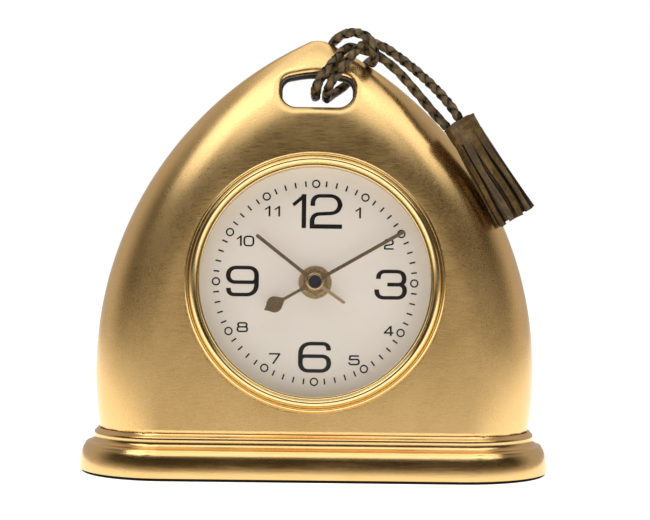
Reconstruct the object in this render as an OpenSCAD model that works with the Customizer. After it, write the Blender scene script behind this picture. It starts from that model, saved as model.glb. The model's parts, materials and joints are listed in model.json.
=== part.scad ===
// Mantel clock with a pointed-arch cast case, a round alarm movement insert and a corded tassel.
// Origin: middle of the base underside. +Z up, the dial faces -Y.

/* [Case] */
// Width of the case at its widest
case_w = 196; // [190:1:200]
// Radius of each side of the pointed arch
arch_r = 163; // [160:1:166]
// Height of the widest level above the table
arch_z = 45; // [43:1:47]
// Half the depth of the case where it meets the plinth
case_d = 33.5; // [33:0.5:35]
// Reach of the rolled rim, measured in from the outline
rim = 30; // [28:1:31]
// Wall of the casting
wall = 3.2; // [2.6:0.2:3.6]

/* [Plinth] */
// Half the length of the straight part of the plinth
plinth_c = 63.5; // [62:0.5:65]
// Radius of the rounded plinth ends at the foot
plinth_r = 41.5; // [41:0.5:43]
// Thickness of the felt pad
pad_t = 1.2; // [1:0.2:1.6]

/* [Carrying slot] */
// Width of the slot
slot_w = 32; // [30:1:34]
// Lowest level of the slot
slot_z = 162; // [161:0.5:163]

/* [Dial] */
// Height of the dial's middle
dial_z = 85; // [84:0.5:86]
// Lean of the dial and the front face, in degrees
lean = 4.5; // [4.5:0.5:4.5]
// Outer radius of the bezel
bezel_r = 56.5; // [56:0.5:57]
// Radius of the dial that shows
dial_r = 49.8; // [49:0.2:50]

/* [Hands] */
// Length of the minute hand
minute_len = 44.6; // [40:0.2:46]
// Length of the hour hand
hour_len = 32.6; // [28:0.2:36]
// Length of the alarm hand
alarm_len = 15.9; // [12:0.1:20]
// Minute hand angle, clockwise from twelve
minute_at = 60; // [0:1:359]
// Hour hand angle, clockwise from twelve
hour_at = 308; // [0:1:359]
// Alarm hand angle, clockwise from twelve
alarm_at = 125; // [0:1:359]

/* [Cord] */
// Thickness of the braided cord
cord_d = 3.8; // [3.4:0.1:4]

/* [Hidden] */
$fn = 64;
arch_c = arch_r - case_w / 2;
neck_z = 19.5;
top_z = arch_z + sqrt(arch_r * arch_r - (arch_c + 2.5) * (arch_c + 2.5));
knee_z = 120;
slope = tan(4.5);
// half the depth of the flat of the front, by height
function hd(z) = case_d - slope * (z - 20) - (z > knee_z ? 0.0018 * (z - knee_z) * (z - knee_z) : 0);
// half the width of the outline, by height, drawn in by g
function hw(z, g) = sqrt((arch_r - g) * (arch_r - g) - (z - arch_z) * (z - arch_z)) - arch_c;
// how far a point is inside the outline drawn in by g
function inset(x, z, g) = max(0, arch_r - g - sqrt((abs(x) + arch_c) * (abs(x) + arch_c) + (z - arch_z) * (z - arch_z)));
function roll(u) = u >= 1 ? 1 : sqrt(max(0, 1 - (1 - u) * (1 - u)));
function face(x, z, g) = (hd(z) - g) * roll(inset(x, z, g) / rim);
// levels of the loft: even below, closer together towards the top
function levels(z0, z1, n) = [for (i = [0 : n]) z0 + (z1 - z0) * sin(90 * i / n)];
// hollow loft of the pillow shape, open at the foot: the outside, the rim of the foot and the inside
module hollow(z0, z1, zc, g, n, ni, m) {
  zs = levels(z0, z1, n);
  zi = levels(z0, zc, ni);
  k = 4 * m;
  function level(z, g) = [for (j = [0 : k - 1]) let (a = 360 * j / k, x = max(0.02, hw(z, g)) * cos(a), d = max(0.01, face(x, z, g)))
    [x, (j == 0 || j == 2 * m) ? 0 : (sin(a) > 0 ? d : -d), z]];
  pts = concat([for (i = [ni : -1 : 0]) each level(zi[i], g)], [for (i = [0 : n]) each level(zs[i], 0)]);
  q = n + ni + 1;
  sides = [for (i = [0 : q - 1]) for (j = [0 : k - 1]) let (a = i * k + j, b = i * k + (j + 1) % k, c = b + k, d = a + k) each [[a, c, b], [a, d, c]]];
  polyhedron(points = pts, faces = concat(sides, [[for (j = [0 : k - 1]) j]], [[for (j = [k - 1 : -1 : 0]) q * k + j]]), convexity = 6);
}
// dial frame: X right, Y up the dial, Z out towards the viewer, origin on the dial's face
module on_dial() translate([0, -(case_d - slope * (dial_z - 20)) + 5, dial_z]) rotate([90 - lean, 0, 0]) children();
module disc(r, z0, z1) translate([0, 0, z0]) cylinder(r = r, h = z1 - z0);
module ring(r0, r1, z0, z1) difference() { disc(r1, z0, z1); disc(r0, z0 - 1, z1 + 1); }
slot_line = concat(arc(slot_w / 2 - 7, slot_z + 7, 7, 7, -90, 0, 6), arc(slot_w / 2 - 5, slot_z + 9.4, 5, 4.6, 0, 72, 5),
  [for (i = [-3 : 3]) [-3 * i, slot_z + 15.4 - 9 * i * i / 88]],
  arc(-(slot_w / 2 - 5), slot_z + 9.4, 5, 4.6, 108, 180, 5), arc(-(slot_w / 2 - 7), slot_z + 7, 7, 7, 180, 270, 6));
module case_shell() color("#b98a4a") difference() {
  union() {
    hollow(neck_z, top_z, 154, wall, 16, 10, 9);
    for (x = [-74, 74]) for (y = [-24.5, 24.5]) translate([x, y, neck_z]) cylinder(r = 4.5, h = 12);
  }
  for (x = [-74, 74]) for (y = [-24.5, 24.5]) translate([x, y, neck_z - 1]) cylinder(r = 1.75, h = 11);
  on_dial() disc(54, -12, 20);
  on_dial() disc(57, 4.6, 20);
  translate([0, case_d - slope * (dial_z - 20) + 4, dial_z]) rotate([90 + lean, 0, 0]) cylinder(r = 44, h = 16);
  translate([0, 30, 0]) rotate([90, 0, 0]) linear_extrude(60) polygon(slot_line);
}
module stadium(r, z0, z1) translate([0, 0, z0]) linear_extrude(z1 - z0) { square([2 * plinth_c, 2 * r], center = true); for (s = [-1, 1]) translate([s * plinth_c, 0]) circle(r = r, $fn = 96); }
function arc(cx, cy, rx, ry, a0, a1, n) = [for (i = [0 : n]) [cx + rx * cos(a0 + (a1 - a0) * i / n), cy + ry * sin(a0 + (a1 - a0) * i / n)]];
plinth_line = concat([[0, pad_t], [plinth_r - 0.3, pad_t]], arc(plinth_r - 4, 1.6, 4, 11.6, 0, 72, 7), [[plinth_r - 3.6, 13.4]],
  arc(plinth_r - 3.9, 17, 3, 3.4, 266, 184, 5), arc(plinth_r - 8.0, 17.6, 1.2, 1.9, 0, 88, 3), [[0, neck_z]]);
module plinth() color("#b98a4a") difference() {
  union() {
    rotate([90, 0, 90]) translate([0, 0, -plinth_c]) linear_extrude(2 * plinth_c) { polygon(plinth_line); mirror([1, 0]) polygon(plinth_line); }
    for (s = [-1, 1]) translate([s * plinth_c, 0, 0]) rotate_extrude($fn = 96) polygon(plinth_line);
  }
  stadium(plinth_r - 6.5, pad_t - 1, 14);
  for (x = [-74, 74]) for (y = [-24.5, 24.5]) translate([x, y, 10]) cylinder(r = 1.9, h = 12);
}
module felt_pad() color("#1c1b1a") stadium(plinth_r - 1, 0, pad_t);
module case_screws() color("#8d9094") for (x = [-74, 74]) for (y = [-24.5, 24.5]) translate([x, y, 0]) difference() {
  union() { translate([0, 0, 11.6]) cylinder(r = 3.4, h = 2.4); translate([0, 0, 13.5]) cylinder(r = 1.72, h = 13); }
  translate([-0.4, -2.6, 11]) cube([0.8, 5.2, 1.6]);
  translate([-2.6, -0.4, 11]) cube([5.2, 0.8, 1.6]);
}
module bezel() color("#d8b65a") on_dial() rotate_extrude($fn = 128) polygon(concat(
  [[54.0, 4.6], [bezel_r, 4.6], [bezel_r, 6.4]], arc(bezel_r - 0.95, 6.9, 0.95, 1.3, 10, 150, 4), [[bezel_r - 1.9, 7.3]],
  arc(bezel_r - 3.6, 8.6, 1.9, 2.9, 0, 150, 6), [[dial_r + 1.2, 10.2], [dial_r, 9.9], [dial_r, 9.7], [54.0, 9.7]]));
module crystal() color("#dfe8ea", 0.3) on_dial() disc(51.95, 7.7, 9.65);
module rehaut_ring() color("#cfae5c") on_dial() ring(50.4, 51.95, 0.05, 7.65);
module mounting_ring() color("#b08d57") on_dial() difference() {
  rotate_extrude($fn = 128) polygon([[47, -2.6], [53.9, -2.6], [53.9, 9.6], [52.0, 9.6], [52.0, -1.05], [47, -1.05]]);
  for (a = [30, 150, 270]) rotate([0, 0, a]) translate([50, 0, 0]) disc(1.03, -4, 0);
}
module ring_clips() color("#9b9fa3") on_dial() for (a = [30, 150, 270]) rotate([0, 0, a]) difference() {
  union() { translate([48, -4, -3.4]) cube([10, 8, 0.8]); translate([56.8, -4, -3.4]) cube([1.2, 8, 4.75]); }
  translate([50, 0, -4]) cylinder(r = 1.1, h = 3);
}
module clip_screws() color("#8d9094") on_dial() for (a = [30, 150, 270]) rotate([0, 0, a]) translate([50, 0, 0]) difference() {
  union() { disc(1.9, -4.6, -3.4); disc(1.0, -3.5, -1.3); }
  translate([-0.25, -1.6, -5]) cube([0.5, 3.2, 0.9]);
}
module dial_plate() color("#efe9df") on_dial() ring(4.6, 51.9, -1, 0);
// figures drawn from bars and arcs
module bar(x0, y0, x1, y1, t) let (l = norm([x1 - x0, y1 - y0])) translate([x0, y0]) rotate(atan2(y1 - y0, x1 - x0)) translate([0, -t / 2]) square([l, t]);
module oval(w, h, r, t) let (ri = min(r, h / 2 - 0.05, w / 2 - 0.05), wi = w - 2 * t, hi = h - 1.5 * t) difference() { rounded(w, h, ri); rounded(wi, hi, min(max(0.25, ri - t * 0.8), hi / 2 - 0.05, wi / 2 - 0.05)); }
module rounded(w, h, r) union() { square([w - 2 * r, h], center = true); square([w, h - 2 * r], center = true); for (x = [-1, 1]) for (y = [-1, 1]) translate([x * (w / 2 - r), y * (h / 2 - r)]) circle(r = r, $fn = 24); }
module part_oval(w, h, r, t, x0, y0, x1, y1) difference() { oval(w, h, r, t); translate([x0, y0]) square([x1 - x0, y1 - y0]); }
module figure(c, w, h, t) {
  r = w * 0.42;
  if (c == 0) oval(w, h, r, t);
  if (c == 1) { translate([w * 0.1 - t / 2, -h / 2]) square([t, h]); bar(w * 0.1, h / 2 - t / 2, -w * 0.28, h * 0.26, t * 0.8); }
  if (c == 2) { translate([0, h * 0.235]) part_oval(w, h * 0.53, r * 0.7, t, -w, -h, w * 0.1, h * 0.02); bar(w / 2 - t * 0.6, h * 0.06, -w / 2 + t * 0.45, -h / 2 + t * 0.4, t * 0.9); translate([-w / 2, -h / 2]) square([w, t * 0.8]); }
  if (c == 3) { translate([0, h * 0.235]) part_oval(w, h * 0.53, r * 0.7, t, -w, -h * 0.16, -w * 0.12, h * 0.09); translate([0, -h * 0.225]) part_oval(w, h * 0.55, r * 0.7, t, -w, -h * 0.09, -w * 0.12, h * 0.16); }
  if (c == 4) { translate([w * 0.22 - t / 2, -h / 2]) square([t, h]); bar(w * 0.22, h / 2 - t * 0.4, -w / 2 + t * 0.2, -h * 0.22, t * 0.8); translate([-w / 2, -h * 0.27]) square([w, t * 0.8]); }
  if (c == 5) { translate([-w * 0.42, h / 2 - t * 0.8]) square([w * 0.86, t * 0.8]); translate([-w * 0.42, -h * 0.04]) square([t, h * 0.54]); translate([0, -h * 0.17]) part_oval(w, h * 0.66, r, t, -w, -h * 0.1, -w * 0.12, h * 0.12); }
  if (c == 6) { translate([0, -h * 0.17]) oval(w, h * 0.66, r * 0.8, t); part_oval(w, h, r, t, -w * 0.5 + t, -h, w, h * 0.28); }
  if (c == 7) { translate([-w / 2, h / 2 - t * 0.8]) square([w, t * 0.8]); bar(w / 2 - t * 0.5, h / 2 - t * 0.4, -w * 0.12, -h / 2, t); }
  if (c == 8) { translate([0, h * 0.235]) oval(w * 0.9, h * 0.53, r * 0.7, t); translate([0, -h * 0.21]) oval(w, h * 0.58, r * 0.75, t); }
  if (c == 9) rotate(180) figure(6, w, h, t);
}
big_w = 13.2; big_h = 14; small_w = 4.1; small_h = 4.7;
module dial_numerals() color("#141414") on_dial() translate([0, 0, 0.02]) linear_extrude(0.12) {
  translate([-5.8, 31.2]) figure(1, 7.5, big_h, 1.9);
  translate([5.2, 31.2]) figure(2, big_w, big_h, 1.7);
  translate([33.0, -0.8]) figure(3, big_w + 0.6, big_h - 0.8, 1.7);
  translate([0.3, -32.6]) figure(6, big_w + 1, big_h, 1.7);
  translate([-32.2, 0]) figure(9, big_w + 1, big_h - 0.8, 1.7);
  for (i = [1, 2, 4, 5, 7, 8]) translate([37.3 * sin(30 * i), 37.3 * cos(30 * i) - 0.1]) figure(i, small_w, small_h, 0.7);
  for (i = [0, 1]) translate([37.3 * sin(300 + 30 * i), 37.3 * cos(300 + 30 * i)]) { translate([-2.6, 0]) figure(1, 3, small_h, 0.7); translate([2, 0]) figure(i, i == 0 ? small_w : 3, small_h, 0.7); }
}
module dial_minute_track() color("#141414") on_dial() translate([0, 0, 0.02]) linear_extrude(0.12) for (i = [0 : 59]) rotate(6 * i)
  if (i % 5 == 0) translate([0, 43.1]) difference() { circle(r = 1.85, $fn = 24); circle(r = 1.25, $fn = 24); }
  else translate([-0.35, 42]) square([0.7, 2.5]);
module dial_washer() color("#b59a62") on_dial() ring(4.1, 7.2, 0.02, 0.6);
module hex_nut() color("#8a6b35") on_dial() difference() { rotate([0, 0, 90]) translate([0, 0, 0.6]) cylinder(r = 6.1, h = 2.0, $fn = 6); disc(4.02, 0, 4); }
module threaded_bushing() color("#b59a62") on_dial() difference() { union() { disc(4.0, -4.5, 3.0); disc(6.5, -4.95, -4.45); } disc(3.06, -6, 4); }
module movement_seal() color("#202020") on_dial() ring(4.05, 8.5, -2, -1.02);
// movement
mv = 28;
module block(a, z0, z1, r) translate([0, 0, z0]) linear_extrude(z1 - z0) rounded(2 * a, 2 * a, r);
post_at = [[23.6, -8.0], [-23.6, -8.0], [23.9, 24.0], [-14.5, 24.6]];
set_at = [13.2, 0]; alarm_at_c = [-13.73, 0]; third_at = [0, 12.5]; step_at = [12, 16]; rotor_at = [19.5, 18.8];
module movement_front() color("#26272a") on_dial() difference() {
  block(mv, -10, -2.02, 3);
  block(mv - 1.5, -11, -4.4, 2);
  disc(4.05, -12, 0);
}
module movement_rear() color("#26272a") on_dial() difference() {
  union() {
    difference() { block(mv, -22, -10, 3); block(mv - 1.5, -20.5, -9, 2); }
    translate([-27, -11.4, -21]) cube([54, 0.75, 11]);
    for (p = post_at) translate([p[0], p[1], -21]) cylinder(r = 1.9, h = 8.9);
    for (p = [third_at, step_at, rotor_at]) translate([p[0], p[1], -21.5]) cylinder(r = 1.3, h = 1.2);
  }
  translate([-25.8, -26.2, -23]) cube([51.6, 14.6, 4]);
  for (p = [set_at, alarm_at_c]) translate([p[0], p[1], -23]) cylinder(r = 1.26, h = 4);
  for (p = [third_at, step_at, rotor_at]) translate([p[0], p[1], -21.2]) cylinder(r = 0.65, h = 2);
  translate([0, 0, -21.2]) cylinder(r = 1.2, h = 2);
  translate([-12, 16.3, -23]) cube([8.4, 3.4, 4]);
  for (p = post_at) translate([p[0], p[1], -23]) cylinder(r = 0.9, h = 12);
}
module movement_screws() color("#8d9094") on_dial() for (p = post_at) translate([p[0], p[1], 0]) difference() { union() { disc(1.8, -23.1, -22); disc(0.85, -22.1, -12.2); } translate([-0.25, -1.5, -24]) cube([0.5, 3, 1.4]); }
module middle_plate() color("#d9d4c4") on_dial() difference() {
  translate([-25.8, -10, -12]) cube([51.6, 35.7, 0.8]);
  disc(3.4, -13, -10);
  for (p = [third_at, step_at, rotor_at]) translate([p[0], p[1], -13]) cylinder(r = 0.65, h = 3);
  for (p = [set_at, alarm_at_c]) translate([p[0], p[1], -13]) cylinder(r = 1.26, h = 3);
}
module circuit_board() color("#2f6b3c") on_dial() difference() { translate([-26, -9.9, -20.0]) cube([20.5, 11.5, 1.0]); translate([alarm_at_c[0], alarm_at_c[1], -21]) cylinder(r = 2, h = 3); translate([-23.6, -8, -21]) cylinder(r = 2.1, h = 3); }
module quartz_can() color("#c8cacc") on_dial() translate([-20.5, -5, -17.7]) rotate([0, 90, 0]) cylinder(r = 1.25, h = 6.2, $fn = 24);
module motor_coil() color("#b4653a") on_dial() translate([-22, 4, -15.6]) rotate([-90, 0, 0]) difference() { cylinder(r = 3.4, h = 18, $fn = 32); translate([0, 0, 1]) difference() { cylinder(r = 4, h = 16); translate([0, 0, -1]) cylinder(r = 2.9, h = 18); } }
module stator() color("#8f9498") on_dial() difference() {
  union() { translate([-25.4, 22.2, -19.9]) cube([12, 3.6, 0.9]); translate([-14, 20.6, -19.9]) cube([36, 5.4, 0.9]); translate([rotor_at[0], rotor_at[1], -19.9]) cylinder(r = 5.4, h = 0.9); }
  translate([rotor_at[0], rotor_at[1], -21]) cylinder(r = 3.5, h = 3);
  for (p = post_at) translate([p[0], p[1], -21]) cylinder(r = 2.05, h = 3);
}
// wheels: n teeth of module m, tooth centre at the angle ph
module wheel2d(n, m, ph) polygon([for (i = [0 : n - 1]) let (p = 360 / n, a = ph + p * i, r = n * m / 2, ro = r + 0.85 * m, ri = r - 1.15 * m)
  each [[ri * cos(a - 0.27 * p), ri * sin(a - 0.27 * p)], [ro * cos(a - 0.1 * p), ro * sin(a - 0.1 * p)], [ro * cos(a + 0.1 * p), ro * sin(a + 0.1 * p)], [ri * cos(a + 0.27 * p), ri * sin(a + 0.27 * p)]]]);
module wheel(n, m, ph, z0, z1) translate([0, 0, z0]) linear_extrude(z1 - z0) wheel2d(n, m, ph);
// phase of a wheel of n2 teeth that meshes with one of n1 teeth, phase p1, where b is the angle from the first to the second
function meshed(n1, p1, n2, b) = b + 180 + 180 / n2 - (p1 - b) * n1 / n2;
m_a = 0.55; m_b = 0.528; m_c = 0.5;
b_third = 90; b_step = atan2(step_at[1] - third_at[1], step_at[0] - third_at[0]); b_rotor = atan2(rotor_at[1] - step_at[1], rotor_at[0] - step_at[0]);
ph_third_p = meshed(40, 0, 10, b_third); ph_third = 0;
ph_step_p = meshed(40, ph_third, 10, b_step); ph_rotor = meshed(24, 0, 8, b_rotor);
module at(p) translate([p[0], p[1], 0]) children();
module rotor() color("#5b5e62") on_dial() at(rotor_at) union() { disc(2.9, -19.9, -18.9); wheel(8, m_c, ph_rotor, -18.9, -17.0); disc(0.6, -20.9, -11.4); }
module step_wheel() color("#e8e2d0") on_dial() at(step_at) union() { wheel(24, m_c, 0, -18.4, -17.4); wheel(10, m_c, ph_step_p, -17.4, -15.2); disc(0.6, -20.9, -11.4); }
module third_wheel() color("#e8e2d0") on_dial() at(third_at) union() { wheel(40, m_c, ph_third, -16.4, -15.6); wheel(10, m_c, ph_third_p, -15.6, -13.0); disc(0.6, -20.9, -11.4); }
module centre_wheel() color("#e8e2d0") on_dial() difference() { union() { wheel(40, m_c, 0, -14.4, -13.6); disc(3.2, -15.0, -12.6); } disc(1.5, -16, -12); }
module minute_arbor() color("#b59a62") on_dial() union() { disc(1.44, -20.4, 7.2); disc(1.12, -21.1, -20.4); wheel(12, m_a, 0, -9.9, -8.6); disc(1.9, -12.5, -9.9); }
module set_wheel() color("#e8e2d0") on_dial() at(set_at) union() { wheel(36, m_a, meshed(12, 0, 36, 0), -9.7, -8.8); wheel(10, m_b, 0, -8.8, -6.6); disc(1.2, -25.4, -5.2); }
module hour_wheel() color("#e8e2d0") on_dial() difference() { union() { wheel(40, m_b, meshed(10, 0, 40, 180), -7.9, -7.1); disc(2.24, -8.2, 5.1); } disc(1.52, -10, 8); }
module alarm_wheel() color("#d8c9a0") on_dial() difference() { union() { wheel(40, m_b, 0, -6.1, -5.3); disc(3.0, -6.4, 4.0); } disc(2.32, -8, 6); }
module alarm_pinion() color("#d8c9a0") on_dial() at(alarm_at_c) union() { wheel(12, m_b, meshed(40, 0, 12, 180), -6.3, -4.8); disc(1.2, -25.4, -6.3); }
module knob(r) difference() { union() { disc(r, -26, -22.5); for (a = [0 : 20 : 340]) rotate([0, 0, a]) translate([r - 0.25, -0.35, -25.8]) cube([0.6, 0.7, 3.1]); } disc(1.2, -25.4, -22); }
module time_set_knob() color("#2e2f33") on_dial() at(set_at) knob(4.8);
module alarm_set_knob() color("#2e2f33") on_dial() at(alarm_at_c) knob(4.4);
module alarm_switch() color("#e6e3da") on_dial() union() { translate([-11.7, 16.5, -23.6]) cube([3.6, 3.0, 3.3]); translate([-13.5, 15.4, -20.4]) cube([7.4, 5.0, 0.7]); }
module buzzer() color("#c9a552") on_dial() translate([-17, 16.5, -10.2]) difference() { cylinder(r = 7.6, h = 5); translate([0, 0, 4.2]) cylinder(r = 6.6, h = 1); translate([0, 0, -1]) cylinder(r = 1.2, h = 7); }
bat_y = -18.9; bat_h = -12.6;
module battery() color("#3c4a60") on_dial() translate([0, bat_y, bat_h]) rotate([0, 90, 0]) union() { translate([0, 0, -23.6]) cylinder(r = 7.1, h = 48.0, $fn = 96); translate([0, 0, 24.4]) cylinder(r = 2.6, h = 1.2, $fn = 48); }
module contact_positive() color("#b9bcc0") on_dial() translate([25.65, bat_y - 5, bat_h - 5]) cube([0.45, 10, 10]);
module contact_negative() color("#b9bcc0") on_dial() union() { translate([-26.1, bat_y - 5, bat_h - 5]) cube([0.45, 10, 10]); translate([-25.65, bat_y, bat_h]) rotate([0, 90, 0]) { cylinder(r = 4.2, h = 0.7, $fn = 48); cylinder(r = 3.3, h = 1.4, $fn = 48); cylinder(r = 2.5, h = 2.0, $fn = 48); } }
// hands point up the dial, then turn clockwise
module turned(a) rotate([0, 0, -a]) children();
module minute_hand() color("#6b5236") on_dial() turned(minute_at) difference() {
  union() {
    translate([0, 0, 5.45]) linear_extrude(0.45) {
      translate([-0.75, 0]) square([1.5, minute_len - 0.75]); translate([0, minute_len - 0.75]) circle(r = 0.75, $fn = 24);
      translate([-0.65, -17]) square([1.3, 17]);
      translate([0, -20.1]) circle(r = 3.5, $fn = 48);
      polygon([[-3.42, -20.85], [0, -25.2], [3.42, -20.85]]);
      polygon([[-2.6, -17.75], [2.6, -17.75], [0.6, -15.4], [-0.6, -15.4]]);
    }
    disc(3.2, 5.4, 6.0);
  }
  disc(1.46, 5, 7);
}
module hour_hand() color("#7a5f40") on_dial() turned(hour_at) difference() { union() { translate([-0.75, 0, 4.35]) cube([1.5, hour_len - 0.75, 0.45]); translate([0, hour_len - 0.75, 4.35]) cylinder(r = 0.75, h = 0.45, $fn = 24); disc(3.5, 4.3, 5.0); } disc(2.26, 4, 6); }
module alarm_hand() color("#c9a86a") on_dial() turned(alarm_at) difference() { union() { translate([-0.75, 0, 3.35]) cube([1.5, alarm_len - 0.75, 0.4]); translate([0, alarm_len - 0.75, 3.35]) cylinder(r = 0.75, h = 0.4, $fn = 24); disc(3.9, 3.25, 3.95); } disc(3.02, 3, 6); }
module hand_nut() color("#a98a5a") on_dial() difference() { disc(3.9, 6.05, 7.3); disc(2.7, 6.95, 8); disc(1.45, 5, 7); }
// cord: both ends come from the tassel; it goes up the front, through the slot, up behind and over itself
route = [[62.6, -17.4, 157.2], [59.98, -17, 161.25], [57.16, -16.1, 165.1], [54.15, -14.7, 168.73], [51, -13.1, 172.18], [47.72, -11.35, 175.5], [44.32, -10.04, 178.68], [40.78, -8.86, 181.75], [37.08, -7.88, 184.72],
  [33.27, -7.07, 187.58], [29.22, -6.61, 190.18], [24.73, -7.15, 191.74], [20.45, -9.05, 190.97], [17.33, -11.56, 188.31], [14.84, -14.05, 184.99], [12.29, -16.3, 181.55], [9.55, -18.16, 178.03], [6.82, -18.76, 174.14],
  [4.91, -16.54, 170.45], [4.27, -12.2, 168.54], [4.18, -7.4, 167.98], [4.18, -2.57, 167.9], [4.15, 2.27, 167.92], [4.19, 7.1, 168.17], [4.64, 11.85, 168.93], [6.3, 16, 170.61], [9.71, 17.94, 173.23],
  [13.51, 17.02, 176], [16.74, 14.74, 178.77], [19.47, 11.92, 181.6], [21.83, 8.49, 184.03], [23.6, 4.17, 185.07], [24.3, -0.5, 184.16], [24.5, -5.2, 183.09], [25.07, -9.83, 184.14], [25.13, -13.39, 187.28],
  [23.51, -14.38, 191.56], [20.26, -12.65, 194.59], [16.63, -9.78, 195.91], [13.22, -6.37, 196.13], [10.27, -2.61, 195.47], [7.83, 1.33, 194.08], [5.91, 5.29, 192.09], [4.49, 9.09, 189.48], [3.26, 12.47, 186.25],
  [2.03, 15.34, 182.56], [0.83, 17.55, 178.44], [-0.27, 17.86, 173.83], [-0.86, 14.75, 170.37], [-0.95, 10.11, 169.15], [-0.91, 5.28, 168.93], [-0.89, 0.44, 168.94], [-0.92, -4.4, 168.93], [-1, -9.23, 169.09],
  [-0.86, -13.95, 170.06], [0.29, -17.64, 172.78], [2.83, -18.35, 176.74], [5.65, -16.94, 180.37], [8.19, -14.53, 183.7], [10.37, -11.54, 186.81], [12.68, -8.12, 189.31], [16.1, -4.92, 190.13], [20.55, -3.77, 188.94],
  [24.95, -4.76, 187.28], [28.77, -6.52, 184.91], [32.33, -8.02, 182], [35.75, -9.24, 178.81], [38.91, -10.39, 175.33], [41.9, -11.57, 171.72], [44.82, -13.3, 168.06], [47.73, -14.8, 164.37], [50.72, -16, 160.68],
  [53.87, -16.9, 157.08], [57.2, -17.4, 153.6]];
function unit(v) = v / norm(v);
function along(i) = unit(route[min(len(route) - 1, i + 1)] - route[max(0, i - 1)]);
// a frame carried along the route so the tube does not twist sharply
function carried(i, u) = i == 0 ? unit(cross(along(0), [0, 1, 0])) : let (t = along(i)) unit(u - (u * t) * t);
function frames(i, u) = i == len(route) ? [] : let (v = carried(i, u)) concat([v], frames(i + 1, v));
module cord() color("#5a4227") {
  us = frames(0, [1, 0, 0]);
  k = 8;
  pts = [for (i = [0 : len(route) - 1]) let (t = along(i), u = us[i], v = cross(t, u)) for (j = [0 : k - 1]) route[i] + cord_d / 2 * (u * cos(360 * j / k) + v * sin(360 * j / k))];
  n = len(route) - 1;
  polyhedron(points = pts, faces = concat(
    [for (i = [0 : n - 1]) for (j = [0 : k - 1]) let (a = i * k + j, b = i * k + (j + 1) % k) each [[a, b, b + k], [a, b + k, a + k]]],
    [[for (j = [k - 1 : -1 : 0]) j]], [[for (j = [0 : k - 1]) n * k + j]]), convexity = 10);
}
module on_tassel() translate([62.1, -17.4, 156.7]) rotate([0, 180 - 31.5, 0]) children();
module tassel_head() color("#86662f") on_tassel() translate([0, 0, 0.3]) union() { cylinder(r = 7.4, h = 12.5); translate([0, 0, 9.8]) cylinder(r = 7.6, h = 1.6); }
module tassel_fringe() color("#7b5b2a") on_tassel() translate([0, 0, 12.8]) cylinder(r1 = 7.3, r2 = 9.4, h = 37.4);

case_shell();
plinth();
felt_pad();
case_screws();
bezel();
crystal();
rehaut_ring();
mounting_ring();
ring_clips();
clip_screws();
dial_plate();
dial_numerals();
dial_minute_track();
dial_washer();
hex_nut();
threaded_bushing();
movement_seal();
movement_front();
movement_rear();
movement_screws();
middle_plate();
circuit_board();
quartz_can();
motor_coil();
stator();
rotor();
step_wheel();
third_wheel();
centre_wheel();
minute_arbor();
set_wheel();
hour_wheel();
alarm_wheel();
alarm_pinion();
time_set_knob();
alarm_set_knob();
alarm_switch();
buzzer();
battery();
contact_positive();
contact_negative();
minute_hand();
hour_hand();
alarm_hand();
hand_nut();
cord();
tassel_head();
tassel_fringe();
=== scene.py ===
import bpy, bmesh, math, json
import numpy as np
from mathutils import Vector, Matrix

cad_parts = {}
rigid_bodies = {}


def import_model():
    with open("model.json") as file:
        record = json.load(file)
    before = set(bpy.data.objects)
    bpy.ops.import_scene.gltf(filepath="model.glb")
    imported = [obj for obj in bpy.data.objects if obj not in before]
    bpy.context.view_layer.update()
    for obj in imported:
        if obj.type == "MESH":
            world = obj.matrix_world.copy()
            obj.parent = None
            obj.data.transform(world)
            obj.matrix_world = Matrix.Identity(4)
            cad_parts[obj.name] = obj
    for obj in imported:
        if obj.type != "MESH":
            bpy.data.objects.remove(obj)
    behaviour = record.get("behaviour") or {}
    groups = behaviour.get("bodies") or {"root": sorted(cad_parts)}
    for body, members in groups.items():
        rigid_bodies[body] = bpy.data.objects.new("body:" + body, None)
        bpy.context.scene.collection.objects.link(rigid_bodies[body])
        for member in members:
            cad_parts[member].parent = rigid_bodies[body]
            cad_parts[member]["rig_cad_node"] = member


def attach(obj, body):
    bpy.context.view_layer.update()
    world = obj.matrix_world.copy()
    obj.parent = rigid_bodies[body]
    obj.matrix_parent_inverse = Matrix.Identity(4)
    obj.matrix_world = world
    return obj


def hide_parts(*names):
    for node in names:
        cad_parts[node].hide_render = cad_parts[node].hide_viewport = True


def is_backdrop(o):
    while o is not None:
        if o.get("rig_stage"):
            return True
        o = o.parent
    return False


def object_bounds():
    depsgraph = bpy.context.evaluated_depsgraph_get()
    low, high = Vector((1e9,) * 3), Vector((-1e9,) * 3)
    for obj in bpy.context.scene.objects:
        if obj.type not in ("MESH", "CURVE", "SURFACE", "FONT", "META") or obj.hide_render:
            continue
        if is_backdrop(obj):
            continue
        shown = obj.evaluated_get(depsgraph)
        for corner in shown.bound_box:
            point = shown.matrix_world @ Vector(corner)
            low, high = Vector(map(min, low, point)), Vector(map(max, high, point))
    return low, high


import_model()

CAD_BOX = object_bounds()
MM = 0.001
rng = np.random.default_rng(7)

# ------------------------------------------------------------------ camera
cam_data = bpy.data.cameras.new("camera")
cam_data.lens = 86.1
cam_data.sensor_width = 36.0
cam = bpy.data.objects.new("camera", cam_data)
bpy.context.scene.collection.objects.link(cam)
cam.matrix_world = Matrix.Translation((0.0042, -0.700, 0.0948)) @ Matrix.Rotation(math.radians(90), 4, "X") @ Matrix.Rotation(math.radians(0.65), 4, "Z")
cam_data.clip_start, cam_data.clip_end = 0.01, 50
bpy.context.scene.camera = cam

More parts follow.
